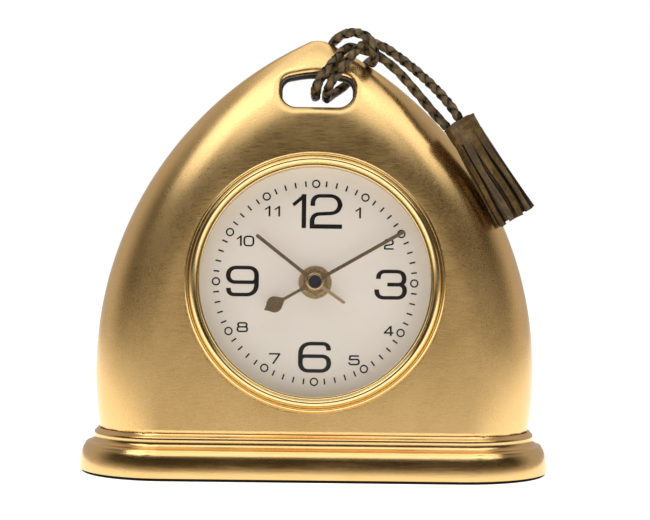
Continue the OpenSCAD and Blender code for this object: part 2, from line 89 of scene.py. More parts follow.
# ------------------------------------------------------------------ frames and helpers
LEAN = math.radians(4.5)
SL = math.tan(LEAN)
DO = np.array([0.0, -(33.5 - SL * 65) + 5, 85.0])
DU = np.array([0.0, math.sin(LEAN), math.cos(LEAN)])
DN = np.array([0.0, -math.cos(LEAN), math.sin(LEAN)])
DX = np.array([1.0, 0.0, 0.0])


def dial(p):
    """Points of the dial's frame (mm) in the row's frame (metres)."""
    p = np.atleast_2d(np.asarray(p, float))
    return (DO + p[:, :1] * DX + p[:, 1:2] * DU + p[:, 2:3] * DN) * MM


def obj_from(name, verts, faces, mat=None, smooth=True):
    me = bpy.data.meshes.new(name)
    me.from_pydata([tuple(map(float, v)) for v in verts], [], [tuple(int(i) for i in f) for f in faces])
    me.validate()
    me.update()
    if smooth:
        me.polygons.foreach_set("use_smooth", [True] * len(me.polygons))
    o = bpy.data.objects.new(name, me)
    bpy.context.scene.collection.objects.link(o)
    if mat:
        me.materials.append(mat)
    return o


def fix_normals(o):
    bm = bmesh.new()
    bm.from_mesh(o.data)
    bmesh.ops.remove_doubles(bm, verts=bm.verts, dist=1e-7)
    bmesh.ops.recalc_face_normals(bm, faces=bm.faces)
    bm.to_mesh(o.data)
    bm.free()


def lathe(name, profile, n, mat, place, closed=True):
    """Turn a closed profile of (r, h) in mm about the axis of a frame."""
    prof = np.array(profile, float)
    m = len(prof)
    verts, faces = [], []
    for i in range(n):
        a = 2 * math.pi * i / n
        verts.append(np.c_[prof[:, 0] * math.cos(a), prof[:, 0] * math.sin(a), prof[:, 1]])
    verts = place(np.concatenate(verts))
    for i in range(n):
        for j in range(m):
            a, b = i * m + j, i * m + (j + 1) % m
            c, d = ((i + 1) % n) * m + (j + 1) % m, ((i + 1) % n) * m + j
            faces.append((a, b, c, d))
    o = obj_from(name, verts, faces, mat)
    fix_normals(o)
    return o


def sharp(o, degrees=35):
    """Smooth shading with creases at sharp edges."""
    bm = bmesh.new()
    bm.from_mesh(o.data)
    for e in bm.edges:
        if len(e.link_faces) == 2:
            e.smooth = e.calc_face_angle(0) < math.radians(degrees)
    for f in bm.faces:
        f.smooth = True
    bm.to_mesh(o.data)
    bm.free()


def arc_pts(cx, cy, rx, ry, a0, a1, n):
    return [(cx + rx * math.cos(math.radians(a0 + (a1 - a0) * i / n)), cy + ry * math.sin(math.radians(a0 + (a1 - a0) * i / n))) for i in range(n + 1)]


# ------------------------------------------------------------------ materials
def material(name):
    m = bpy.data.materials.new(name)
    m.use_nodes = True
    nt = m.node_tree
    return m, nt, nt.nodes["Principled BSDF"]


def node(nt, kind, **kw):
    n = nt.nodes.new(kind)
    for k, v in kw.items():
        if k.startswith("in_"):
            n.inputs[k[3:].replace("_", " ")].default_value = v
        else:
            setattr(n, k, v)
    return n


def coords(nt, scale, rot=(0, 0, 0)):
    tc = node(nt, "ShaderNodeTexCoord")
    mp = node(nt, "ShaderNodeMapping")
    mp.inputs["Scale"].default_value = scale
    mp.inputs["Rotation"].default_value = rot
    nt.links.new(tc.outputs["Object"], mp.inputs["Vector"])
    return mp.outputs["Vector"]


def noise(nt, vec, scale=1.0, detail=4.0, rough=0.5, dist=0.0):
    n = node(nt, "ShaderNodeTexNoise")
    n.inputs["Scale"].default_value = scale
    n.inputs["Detail"].default_value = detail
    n.inputs["Roughness"].default_value = rough
    n.inputs["Distortion"].default_value = dist
    nt.links.new(vec, n.inputs["Vector"])
    return n.outputs["Fac"]


def ramp(nt, fac, stops):
    r = node(nt, "ShaderNodeValToRGB")
    e = r.color_ramp.elements
    while len(e) < len(stops):
        e.new(0.5)
    for i, (p, c) in enumerate(stops):
        e[i].position = p
        e[i].color = (*c, 1) if len(c) == 3 else c
    nt.links.new(fac, r.inputs["Fac"])
    return r.outputs["Color"]


def remap(nt, fac, lo, hi, a, b):
    r = node(nt, "ShaderNodeMapRange")
    r.inputs["From Min"].default_value = lo
    r.inputs["From Max"].default_value = hi
    r.inputs["To Min"].default_value = a
    r.inputs["To Max"].default_value = b
    nt.links.new(fac, r.inputs["Value"])
    return r.outputs["Result"]


def mix(nt, a, b, fac, blend="MIX"):
    m = node(nt, "ShaderNodeMix", data_type="RGBA", blend_type=blend)
    for sock, v in ((m.inputs[6], a), (m.inputs[7], b), (m.inputs[0], fac)):
        if isinstance(v, (tuple, list)):
            sock.default_value = (*v, 1) if len(v) == 3 else v
        elif isinstance(v, (int, float)):
            sock.default_value = v
        else:
            nt.links.new(v, sock)
    return m.outputs[2]


def bump(nt, bsdf, height, strength, distance, normal=None):
    b = node(nt, "ShaderNodeBump")
    b.inputs["Strength"].default_value = strength
    b.inputs["Distance"].default_value = distance
    nt.links.new(height, b.inputs["Height"])
    if normal is not None:
        nt.links.new(normal, b.inputs["Normal"])
    if bsdf is not None:
        nt.links.new(b.outputs["Normal"], bsdf.inputs["Normal"])
    return b.outputs["Normal"]


def brass(name, base, light, rough, brush=(1, 1, 1), brush_scale=900.0, strength=0.12, spread=0.05, aniso=0.0, dist=0.00002):
    """Metal with fine directional brushing, faint tarnish clouds and tiny scratches."""
    m, nt, p = material(name)
    p.inputs["Metallic"].default_value = 1.0
    p.inputs["Anisotropic"].default_value = aniso
    if aniso:
        p.inputs["Anisotropic Rotation"].default_value = 0.25
        tg = node(nt, "ShaderNodeTangent", direction_type="RADIAL", axis="Z")
        nt.links.new(tg.outputs[0], p.inputs["Tangent"])
    fine = noise(nt, coords(nt, brush), brush_scale, 3.0, 0.6)
    cloud = noise(nt, coords(nt, (1, 1, 1)), 22.0, 5.0, 0.6)
    col = mix(nt, base, light, remap(nt, cloud, 0.3, 0.7, 0.0, 1.0))
    col = mix(nt, col, tuple(c * 0.8 for c in base), remap(nt, fine, 0.52, 0.8, 0.0, 0.28))
    nt.links.new(col, p.inputs["Base Color"])
    r = node(nt, "ShaderNodeMath", operation="ADD")
    nt.links.new(remap(nt, fine, 0.3, 0.7, rough - spread, rough + spread), r.inputs[0])
    nt.links.new(remap(nt, cloud, 0.3, 0.7, -0.03, 0.04), r.inputs[1])
    nt.links.new(r.outputs[0], p.inputs["Roughness"])
    bump(nt, p, fine, strength, dist)
    return m


def plain(name, col, rough, metal=0.0, grain=300.0, bump_s=0.1, vary=0.12, spec=0.5):
    m, nt, p = material(name)
    p.inputs["Metallic"].default_value = metal
    p.inputs["Specular IOR Level"].default_value = spec
    g = noise(nt, coords(nt, (1, 1, 1)), grain, 4.0, 0.6)
    c = noise(nt, coords(nt, (1, 1, 1)), 40.0, 4.0, 0.55)
    nt.links.new(mix(nt, tuple(max(0, x * (1 - vary)) for x in col), tuple(min(1, x * (1 + vary)) for x in col), remap(nt, c, 0.3, 0.7, 0, 1)), p.inputs["Base Color"])
    nt.links.new(remap(nt, g, 0.3, 0.7, max(0.02, rough - 0.06), rough + 0.06), p.inputs["Roughness"])
    bump(nt, p, g, bump_s, 0.00004)
    return m


def leather(name, dark, mid, light, rough=0.42):
    m, nt, p = material(name)
    big = noise(nt, coords(nt, (1, 1, 1)), 130.0, 5.0, 0.65, 0.4)
    small = noise(nt, coords(nt, (1, 1, 1)), 900.0, 5.0, 0.6)
    v = node(nt, "ShaderNodeTexVoronoi", feature="DISTANCE_TO_EDGE")
    v.inputs["Scale"].default_value = 1500.0
    nt.links.new(coords(nt, (1, 1, 1)), v.inputs["Vector"])
    col = ramp(nt, big, [(0.3, dark), (0.5, mid), (0.72, light)])
    geo = node(nt, "ShaderNodeNewGeometry")
    wear = remap(nt, geo.outputs["Pointiness"], 0.5, 0.62, 0.0, 0.75)
    col = mix(nt, col, light, wear)
    # painted shade: colour darkened in creases and hollows (low pointiness), where shade falls
    crease_shade = remap(nt, geo.outputs["Pointiness"], 0.36, 0.5, 0.85, 0.0)
    col = mix(nt, col, tuple(x * 0.35 for x in dark), crease_shade)
    # painted shade: the per-vertex attribute darkens the colour towards near-black where the leather lies in shade
    shade_tone = node(nt, "ShaderNodeAttribute", attribute_name="shade_tone")
    col = mix(nt, tuple(x * 0.12 for x in dark), col, shade_tone.outputs["Fac"])
    nt.links.new(col, p.inputs["Base Color"])
    nt.links.new(remap(nt, small, 0.3, 0.7, rough - 0.1, rough + 0.15), p.inputs["Roughness"])
    h = node(nt, "ShaderNodeMath", operation="ADD")
    nt.links.new(remap(nt, v.outputs["Distance"], 0.0, 0.35, 0.0, 1.0), h.inputs[0])
    nt.links.new(small, h.inputs[1])
    bump(nt, p, h.outputs[0], 0.35, 0.00006)
    p.inputs["Specular IOR Level"].default_value = 0.34
    return m


M_CASE = brass("satin_brass", (0.76, 0.495, 0.195), (0.84, 0.57, 0.25), 0.27, brush=(0.05, 1, 1), brush_scale=3200.0, strength=0.1, aniso=0.45)
M_PLINTH = brass("satin_brass_plinth", (0.74, 0.48, 0.19), (0.82, 0.55, 0.24), 0.19, brush=(0.04, 1, 1), brush_scale=2000.0, strength=0.12, aniso=0.25)
M_BEZEL = brass("polished_brass", (0.80, 0.60, 0.28), (0.86, 0.67, 0.34), 0.17, brush_scale=500.0, strength=0.03, spread=0.03)
M_INNER = brass("raw_casting", (0.23, 0.16, 0.08), (0.3, 0.22, 0.12), 0.6, brush_scale=500.0, strength=0.6, dist=0.0003)
# near-black material for the slot tunnel's walls
M_BLACK = plain("slot_wall_black", (0.004, 0.004, 0.004), 0.8, grain=500, bump_s=0.3, spec=0.08)
M_FELT = plain("black_felt", (0.012, 0.012, 0.012), 0.95, grain=1800, bump_s=0.9, vary=0.3, spec=0.1)

# ------------------------------------------------------------------ cord
ROUTE = np.array([[62.6, -17.4, 157.2], [59.98, -17, 161.25], [57.16, -16.1, 165.1], [54.15, -14.7, 168.73], [51, -13.1, 172.18], [47.72, -11.35, 175.5], [44.32, -10.04, 178.68], [40.78, -8.86, 181.75], [37.08, -7.88, 184.72],
  [33.27, -7.07, 187.58], [29.22, -6.61, 190.18], [24.73, -7.15, 191.74], [20.45, -9.05, 190.97], [17.33, -11.56, 188.31], [14.84, -14.05, 184.99], [12.29, -16.3, 181.55], [9.55, -18.16, 178.03], [6.82, -18.76, 174.14],
  [4.91, -16.54, 170.45], [4.27, -12.2, 168.54], [4.18, -7.4, 167.98], [4.18, -2.57, 167.9], [4.15, 2.27, 167.92], [4.19, 7.1, 168.17], [4.64, 11.85, 168.93], [6.3, 16, 170.61], [9.71, 17.94, 173.23],
  [13.51, 17.02, 176], [16.74, 14.74, 178.77], [19.47, 11.92, 181.6], [21.83, 8.49, 184.03], [23.6, 4.17, 185.07], [24.3, -0.5, 184.16], [24.5, -5.2, 183.09], [25.07, -9.83, 184.14], [25.13, -13.39, 187.28],
  [23.51, -14.38, 191.56], [20.26, -12.65, 194.59], [16.63, -9.78, 195.91], [13.22, -6.37, 196.13], [10.27, -2.61, 195.47], [7.83, 1.33, 194.08], [5.91, 5.29, 192.09], [4.49, 9.09, 189.48], [3.26, 12.47, 186.25],
  [2.03, 15.34, 182.56], [0.83, 17.55, 178.44], [-0.27, 17.86, 173.83], [-0.86, 14.75, 170.37], [-0.95, 10.11, 169.15], [-0.91, 5.28, 168.93], [-0.89, 0.44, 168.94], [-0.92, -4.4, 168.93], [-1, -9.23, 169.09],
  [-0.86, -13.95, 170.06], [0.29, -17.64, 172.78], [2.83, -18.35, 176.74], [5.65, -16.94, 180.37], [8.19, -14.53, 183.7], [10.37, -11.54, 186.81], [12.68, -8.12, 189.31], [16.1, -4.92, 190.13], [20.55, -3.77, 188.94],
  [24.95, -4.76, 187.28], [28.77, -6.52, 184.91], [32.33, -8.02, 182], [35.75, -9.24, 178.81], [38.91, -10.39, 175.33], [41.9, -11.57, 171.72], [44.82, -13.3, 168.06], [47.73, -14.8, 164.37], [50.72, -16, 160.68],
  [53.87, -16.9, 157.08], [57.2, -17.4, 153.6]])


def smooth_route(points, step):
    """A Catmull-Rom curve through the points, evened out and slightly relaxed."""
    p = np.concatenate([[2 * points[0] - points[1]], points, [2 * points[-1] - points[-2]]])
    out = []
    for i in range(1, len(p) - 2):
        a, b, c, d = p[i - 1], p[i], p[i + 1], p[i + 2]
        for t in np.linspace(0, 1, 24, endpoint=False):
            out.append(0.5 * (2 * b + (c - a) * t + (2 * a - 5 * b + 4 * c - d) * t * t + (3 * b - a - 3 * c + d) * t ** 3))
    out = np.array(out + [points[-1]])
    along = np.concatenate([[0], np.cumsum(np.linalg.norm(np.diff(out, axis=0), axis=1))])
    n = int(round(along[-1] / step))
    at = np.linspace(0, along[-1], n + 1)
    line = np.stack([np.interp(at, along, out[:, k]) for k in range(3)], axis=1)
    for _ in range(30):
        line[1:-1] = 0.5 * line[1:-1] + 0.25 * (line[:-2] + line[2:])
    return line


LINE = smooth_route(ROUTE, 0.5)


def carried_frames(line):
    t = np.gradient(line, axis=0)
    t /= np.linalg.norm(t, axis=1)[:, None]
    u = np.zeros_like(t)
    w = np.cross(t[0], [0, 1, 0])
    u[0] = w / np.linalg.norm(w)
    for i in range(1, len(t)):
        v = u[i - 1] - (u[i - 1] @ t[i]) * t[i]
        u[i] = v / np.linalg.norm(v)
    return t, u, np.cross(t, u)


def tube(line, side, up, w, h, k, expo=2.3):
    """Rings of a flattened strap: line (n,3), side and up are unit frames, w and h the half sizes."""
    n = len(line)
    w = np.broadcast_to(w, (n,))
    h = np.broadcast_to(h, (n,))
    verts = []
    for j in range(k):
        a = 2 * math.pi * (j + 0.5) / k
        c, s = math.cos(a), math.sin(a)
        x = math.copysign(abs(c) ** (2 / expo), c)
        y = math.copysign(abs(s) ** (2 / expo), s)
        verts.append(line + side * (w * x)[:, None] + up * (h * y)[:, None])
    v = np.stack(verts, axis=1).reshape(-1, 3)
    f = [(i * k + j, i * k + (j + 1) % k, (i + 1) * k + (j + 1) % k, (i + 1) * k + j) for i in range(n - 1) for j in range(k)]
    f += [tuple(range(k))[::-1], tuple((n - 1) * k + j for j in range(k))]
    return v, f


# stores a per-vertex painted shade value, with some tone variation, for the leather materials
def set_shade_tone(o, shade_tones):
    layer = o.data.color_attributes.new("shade_tone", "FLOAT_COLOR", "POINT")
    t = np.asarray(shade_tones, np.float32)
    layer.data.foreach_set("color", np.stack([t, t, t, np.ones_like(t)], axis=1).reshape(-1))


def braid(line, pitch, r0, amp, w, h, k=14):
    t, u, v = carried_frames(line)
    s = np.concatenate([[0], np.cumsum(np.linalg.norm(np.diff(line, axis=0), axis=1))])
    allv, allf, base, shade_tones = [], [], 0, []
    across = np.array([math.copysign(abs(math.cos(2 * math.pi * (j + 0.5) / k)) ** (2 / 2.3), math.cos(2 * math.pi * (j + 0.5) / k)) for j in range(k)])
    face = np.array([math.sin(2 * math.pi * (j + 0.5) / k) for j in range(k)])
    for sign, phase in ((1, 0), (1, math.pi), (-1, math.pi / 2), (-1, 3 * math.pi / 2)):
        th = sign * 2 * math.pi * s / pitch + phase
        over = 0.5 + 0.5 * sign * np.sin(4 * math.pi * s / pitch)
        worn = 0.8 + 0.2 * np.sin(s * 0.37 + 2 * phase) * np.sin(s * 0.11 + phase)
        # painted shade: strands are darker where they pass under the others, towards their edges and on their
        # undersides; the slow wave along each strand is tone variation
        shade_tones.append(((0.10 + 0.90 * over ** 0.8) * worn)[:, None] * (1 - 0.8 * np.abs(across) ** 3)[None] * np.where(face > -0.2, 1.0, 0.3)[None])
        rad = r0 + sign * amp * np.sin(4 * math.pi * s / pitch)
        out = u * np.cos(th)[:, None] + v * np.sin(th)[:, None]
        path = line + out * rad[:, None]
        d = np.gradient(path, axis=0)
        d /= np.linalg.norm(d, axis=1)[:, None]
        side = np.cross(d, out)
        side /= np.linalg.norm(side, axis=1)[:, None]
        up = np.cross(side, d)
        vv, ff = tube(path, side, up, w, h, k)
        allv.append(vv)
        allf += [tuple(i + base for i in f) for f in ff]
        base += len(vv)
    cv_, cf_ = tube(line, u, v, 1.0, 1.0, 12, 2.0)
    allv.append(cv_)
    allf += [tuple(i + base for i in f) for f in cf_]
    # painted shade: the core under the strands is coloured near-black
    shade_tones.append(np.zeros(len(cv_)))
    return np.concatenate(allv), allf, np.concatenate([t.reshape(-1) for t in shade_tones])


M_CORD = leather("braided_leather", (0.05, 0.03, 0.01), (0.16, 0.098, 0.034), (0.36, 0.245, 0.105), 0.36)
cv, cf, ct = braid(LINE, 15.5, 1.24, 0.34, 1.58, 0.54)
cord = obj_from("braided_cord", cv * MM, cf, M_CORD)
set_shade_tone(cord, ct)
fix_normals(cord)
M_TASSEL = leather("tassel_leather", (0.030, 0.015, 0.004), (0.095, 0.052, 0.013), (0.25, 0.155, 0.045), 0.42)

# ------------------------------------------------------------------ tassel
TO = np.array([62.1, -17.4, 156.7])
TA = np.array([math.sin(math.radians(31.5)), 0.0, -math.cos(math.radians(31.5))])
TS = np.array([0.0, 1.0, 0.0])
TR = np.cross(TS, TA)


def tas(p):
    p = np.atleast_2d(np.asarray(p, float))
    return (TO + p[:, :1] * TR + p[:, 1:2] * TS + p[:, 2:3] * TA) * MM


def tassel_head():
    """A leather band wrapped one and a half turns, with a raised overlapping end and a sunken top."""
    n, verts, faces = 150, [], []
    turns = 1.55
    prof = [(-0.62, 0.7), (-0.55, 0.15), (-0.1, -0.02), (0.42, 0.1), (0.62, 0.5), (0.5, 1.0), (0.34, 2.0), (0.3, 5.0), (0.22, 8.0), (0.05, 9.6), (-0.3, 10.0), (-0.55, 9.6), (-0.5, 5.0)]
    m = len(prof)
    for i in range(n + 1):
        f = i / n
        a = math.radians(-150) + f * turns * 2 * math.pi
        r = 6.3 + 0.62 * f * turns + 0.06 * math.sin(9 * a) + 0.05 * math.sin(17 * a + 1)
        end = min(1.0, (1 - f) * n / 3.0, f * n / 3.0)
        for q, (dr, h) in enumerate(prof):
            hh = h + 0.3 * math.sin(2.1 * a + 0.4 * q) * (1 if h > 6 else 0.9) + (0.0 if h > 3 else 0.12 * math.sin(7 * a))
            verts.append(((r + dr * (0.35 + 0.65 * end)) * math.cos(a), (r + dr * (0.35 + 0.65 * end)) * math.sin(a), hh + 0.25))
    for i in range(n):
        for j in range(m):
            a, b = i * m + j, i * m + (j + 1) % m
            faces.append((a, b, b + m, a + m))
    faces += [tuple(range(m))[::-1], tuple(n * m + j for j in range(m))]
    o = obj_from("tassel_band", tas(verts), faces, M_TASSEL)
    # painted shade: the band's inner faces are darker than its outer faces, which vary slightly in tone
    set_shade_tone(o, [0.45 if dr < -0.3 else 0.9 + 0.1 * math.sin(3 * i) for i in range(n + 1) for dr, h in prof])
    fix_normals(o)
    sub = o.modifiers.new("sub", "SUBSURF")
    sub.levels = sub.render_levels = 1
    return o


def tassel_plug():
    prof = [(6.2, 11.0), (6.2, 3.0)] + arc_pts(0, 2.6, 6.0, 0.7, 10, 84, 8) + [(0.01, 3.3), (0.01, 11.0)]
    o = lathe("tassel_plug", prof, 48, M_TASSEL, tas)
    # painted shade: the plug's sunken top is coloured dark
    set_shade_tone(o, [0.25] * len(o.data.vertices))
    return o


def tassel_fringe():
    """Broad strips cut from the hide, loose below the head, with dark gaps between them."""
    allv, allf, shade_tones, base = [], [], [], 0
    q = np.array([-1, -0.93, -0.6, -0.2, 0.2, 0.6, 0.93, 1.0])
    # painted shade: the inner rings of strips get darker values
    for count, ra, rb, thick, shade_tone, long in ((11, 6.72, 8.7, 1.0, 1.0, 1.0), (9, 5.3, 7.0, 0.95, 0.42, 0.985), (6, 3.6, 4.9, 0.95, 0.3, 0.97), (3, 1.5, 2.2, 0.9, 0.25, 0.95)):
        for i in range(count):
            jit = rng.random(6)
            a0 = 2 * math.pi * (i + 0.22 * (jit[0] - 0.5)) / count
            t = np.linspace(0, 1, 34)
            free = np.clip((t - 0.10) / 0.9, 0, 1)
            radius = ra + (rb - ra) * free ** 0.85 + 0.5 * (jit[1] - 0.5) * np.sin(math.pi * free) + 0.35 * (jit[2] - 0.35) * free ** 2
            ang = a0 + 0.30 * (jit[3] - 0.5) * free ** 1.4 + 0.05 * np.sin(6 * free + 6 * jit[4])
            z = 7.6 + (42.4 * long - 1.2 * jit[5]) * t
            half = math.pi * ra / count * (1.03 - 0.20 * np.clip(free * 3, 0, 1) - 0.06 * free)
            p = np.c_[radius * np.cos(ang), radius * np.sin(ang), z]
            d = np.gradient(p, axis=0)
            d /= np.linalg.norm(d, axis=1)[:, None]
            tw = 0.5 * (jit[4] - 0.5) * free
            out = np.c_[np.cos(ang + tw), np.sin(ang + tw), np.zeros_like(ang)]
            side = np.cross(d, out)
            side /= np.linalg.norm(side, axis=1)[:, None]
            out = np.cross(side, d)
            curl = (1.0 - free) + free * (0.6 + 1.6 * (jit[1] - 0.3))
            rows = []
            for face in (1, -1):
                qq = q if face > 0 else q[::-1]
                for x in qq:
                    edge = 0.22 if abs(x) == 1 else 0.0
                    v = -curl * (half * x) ** 2 / (2 * radius) + face * (thick / 2 - edge)
                    sag = 0.5 * (jit[2] - 0.5) * x * free ** 6
                    rows.append(p + side * (half * x)[:, None] + out * v[:, None] + d * sag[:, None])
                    shade_tones.append((i, face, x))
            m = len(rows)
            v = np.stack(rows, axis=1)
            # painted shade: each strip darkens towards its edges and on its back face; the wave along it and the
            # per-strip factor are tone variation
            shade = []
            for face in (1, -1):
                for x in (q if face > 0 else q[::-1]):
                    shade.append(shade_tone * (1 - 0.78 * abs(x) ** 8) * (1.0 if face > 0 else 0.35))
            tn = np.outer(0.86 + 0.14 * np.sin(9 * t + 6 * jit[0]), shade) * (0.82 + 0.3 * jit[3])
            allv.append(v.reshape(-1, 3))
            allf += [(base + r * m + j, base + r * m + (j + 1) % m, base + (r + 1) * m + (j + 1) % m, base + (r + 1) * m + j) for r in range(len(t) - 1) for j in range(m)]
            allf += [tuple(base + j for j in range(m))[::-1], tuple(base + (len(t) - 1) * m + j for j in range(m))]
            shade_tones = shade_tones[:-m] + [tn.reshape(-1)]
            base += v.shape[0] * m
    o = obj_from("tassel_strips", tas(np.concatenate(allv)), allf, M_TASSEL)
    set_shade_tone(o, np.concatenate(shade_tones))
    fix_normals(o)
    sharp(o, 50)
    return o


band, plug, strips = tassel_head(), tassel_plug(), tassel_fringe()
for o in (cord, band, plug, strips):
    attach(o, "clock")
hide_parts("cord")
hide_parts("tassel_head")
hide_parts("tassel_fringe")

# ------------------------------------------------------------------ case
R, C, Z0, HD0, RIM, WALL, NECK, TOP = 163.0, 65.0, 45.0, 33.5, 30.0, 3.2, 19.5, 193.36


def smin(a, b, k):
    h = np.clip(0.5 + 0.5 * (b - a) / k, 0, 1)
    return b + (a - b) * h - k * h * (1 - h)


def smax(a, b, k):
    return -smin(-a, -b, k)


def half_depth(z):
    return HD0 - SL * (z - 20) - np.where(z > 120, 0.0018 * (z - 120) ** 2, 0.0)


def pillow(x, y, z, g, k):
    sl = R - g - np.hypot(x + C, z - Z0)
    sr = R - g - np.hypot(x - C, z - Z0)
    s = smin(sl, sr, k)
    hd = half_depth(z) - g
    q = np.maximum(0.0, 1 - s / RIM)
    rad = np.sqrt(q * q + (y / hd) ** 2)
    # scaled to be close to a distance near the surface
    gx = q / RIM / np.maximum(rad, 1e-6)
    gy = np.abs(y) / hd ** 2 / np.maximum(rad, 1e-6)
    return (rad - 1) / np.maximum(np.hypot(gx, gy), 1e-4)


SLOT = arc_pts(9, 169, 7, 7, -90, 0, 12) + arc_pts(11, 171.4, 5, 4.6, 0, 72, 10) + [(-1.5 * i, 177.4 - 2.25 * i * i / 88) for i in range(-6, 7)] + arc_pts(-11, 171.4, 5, 4.6, 108, 180, 10) + arc_pts(-9, 169, 7, 7, 180, 270, 12)


def slot_distance(x, z):
    """Signed distance to the slot's outline, below zero inside it."""
    pts = np.array(SLOT)
    a, b = pts, np.roll(pts, -1, axis=0)
    p = np.stack([x, z], axis=-1)[:, None, :]
    e = (b - a)[None]
    w = p - a[None]
    t = np.clip((w * e).sum(-1) / np.maximum((e * e).sum(-1), 1e-12), 0, 1)
    d = np.linalg.norm(w - t[..., None] * e, axis=-1).min(1)
    ay, by, ax, bx = a[None, :, 1], b[None, :, 1], a[None, :, 0], b[None, :, 0]
    pz, px = p[..., 1], p[..., 0]
    cross = ((ay > pz) != (by > pz)) & (px < (bx - ax) * (pz - ay) / np.where(np.abs(by - ay) < 1e-12, 1e-12, by - ay) + ax)
    return np.where(cross.sum(1) % 2 == 1, -d, d)


def case_field(p):
    x, y, z = p[:, 0], p[:, 1], p[:, 2]
    f = pillow(x, y, z, 0, 2.6)
    f = smax(f, z - 193.3, 0.5)
    sd = np.full(len(x), 50.0)
    near = (np.abs(x) < 30) & (z > 145)
    if near.any():
        sd[near] = slot_distance(x[near], z[near])
    f = smax(f, -sd, 3.6)
    inner = np.maximum(pillow(x, y, z, WALL, 5.0), z - 154)
    f = smax(f, -inner, 0.8)
    # front bore and seat, in the dial's frame
    rel = p - DO
    dx, dy, dz = rel[:, 0], rel @ DU, rel @ DN
    rr = np.hypot(dx, dy)
    bore = np.maximum(rr - 54.0, -12 - dz)
    seat = np.maximum(rr - 55.7, 4.6 - dz)
    f = np.maximum(f, -bore)
    f = smax(f, -seat, 0.5)
    # rear opening
    cb = np.array([0.0, 33.5 - SL * 65 + 4, 85.0])
    nb = np.array([0.0, math.cos(LEAN), math.sin(LEAN)])
    rel = p - cb
    h = rel @ nb
    rr = np.linalg.norm(rel - h[:, None] * nb, axis=1)
    back = np.maximum(rr - 44.0, -16 - h)
    f = smax(f, -back, 3.0)
    f = np.maximum(f, NECK - z)
    return f


def gradient(fn, p, e=0.02):
    g = np.zeros_like(p)
    for k in range(3):
        d = np.zeros(3)
        d[k] = e
        g[:, k] = (fn(p + d) - fn(p - d)) / (2 * e)
    return g


def case_mesh():
    src = frame_node("case_shell")
    me = src.data.copy()
    o = bpy.data.objects.new("case_casting", me)
    bpy.context.scene.collection.objects.link(o)
    o.matrix_world = src.matrix_world.copy()
    for m in list(o.modifiers):
        o.modifiers.remove(m)
    r = o.modifiers.new("remesh", "REMESH")
    r.mode = "VOXEL"
    r.voxel_size = 0.0008
    r.adaptivity = 0.0
    dg = bpy.context.evaluated_depsgraph_get()
    ev = o.evaluated_get(dg)
    new = bpy.data.meshes.new_from_object(ev)
    o.modifiers.clear()
    o.data = new
    n = len(new.vertices)
    co = np.zeros(n * 3, np.float32)
    new.vertices.foreach_get("co", co)
    p = co.reshape(-1, 3).astype(float) / MM
    start = p.copy()
    for it in range(7):
        f = case_field(p)
        g = gradient(case_field, p)
        gg = np.maximum((g * g).sum(1), 0.05)
        step = -(f / gg)[:, None] * g
        ln = np.linalg.norm(step, axis=1)
        cap = 0.8
        step *= np.minimum(1, cap / np.maximum(ln, 1e-9))[:, None]
        p += step
    new.vertices.foreach_set("co", (p * MM).astype(np.float32).reshape(-1))
    new.update()
    print("case mesh", n, "residual", float(np.abs(case_field(p)).max()), float(np.median(np.abs(case_field(p)))))
    new.polygons.foreach_set("use_smooth", [True] * len(new.polygons))
    return o, p


def frame_node(name):
    for o in bpy.data.objects:
        if o.get("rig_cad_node") == name:
            return o
    return bpy.data.objects[name]


case, cp = case_mesh()
me = case.data
me.materials.clear()
for m in (M_CASE, M_INNER, M_BLACK):
    me.materials.append(m)
fc = np.zeros(len(me.polygons) * 3, np.float32)
me.polygons.foreach_get("center", fc)
fc = fc.reshape(-1, 3) / MM
inner_d = pillow(fc[:, 0], fc[:, 1], fc[:, 2], 0, 5.0)
rel = fc - DO
deep = inner_d < -1.6
sdc = np.full(len(fc), 50.0)
near = (np.abs(fc[:, 0]) < 25) & (fc[:, 2] > 158)
sdc[near] = slot_distance(fc[near, 0].astype(float), fc[near, 2].astype(float))
idx = np.where(deep, 1, 0)
# the slot tunnel's walls get the near-black material
idx = np.where((sdc < 1.2) & (inner_d < -6.0), 2, idx)
idx = np.where((sdc < 30) & (sdc >= 1.2), 0, idx)
me.polygons.foreach_set("material_index", idx.astype(np.int32))
me.update()
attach(case, "clock")
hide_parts("case_shell")

# ------------------------------------------------------------------ plinth
PC, PR, PAD = 63.5, 41.5, 1.2


def stadium_path(n_end, n_side):
    pts = []
    for i in range(n_side):
        pts.append(((-PC + 2 * PC * i / n_side), 0, 0.0, -1.0))
    for i in range(n_end):
        a = -math.pi / 2 + math.pi * i / n_end
        pts.append((PC, 0, math.cos(a), math.sin(a)))
    for i in range(n_side):
        pts.append((PC - 2 * PC * i / n_side, 0, 0.0, 1.0))
    for i in range(n_end):
        a = math.pi / 2 + math.pi * i / n_end
        pts.append((-PC, 0, math.cos(a), math.sin(a)))
    return np.array(pts)


def sweep_stadium(name, profile, mat, n_end=72, n_side=60):
    path = stadium_path(n_end, n_side)
    prof = np.array(profile)
    m, n = len(prof), len(path)
    verts, faces = [], []
    for cx, cy, nx, ny in path:
        for r, h in prof:
            verts.append(((cx + nx * r) * MM, (cy + ny * r) * MM, h * MM))
    for i in range(n):
        for j in range(m):
            a, b = i * m + j, i * m + (j + 1) % m
            c, d = ((i + 1) % n) * m + (j + 1) % m, ((i + 1) % n) * m + j
            faces.append((a, b, c, d))
    o = obj_from(name, verts, faces, mat)
    fix_normals(o)
    return o


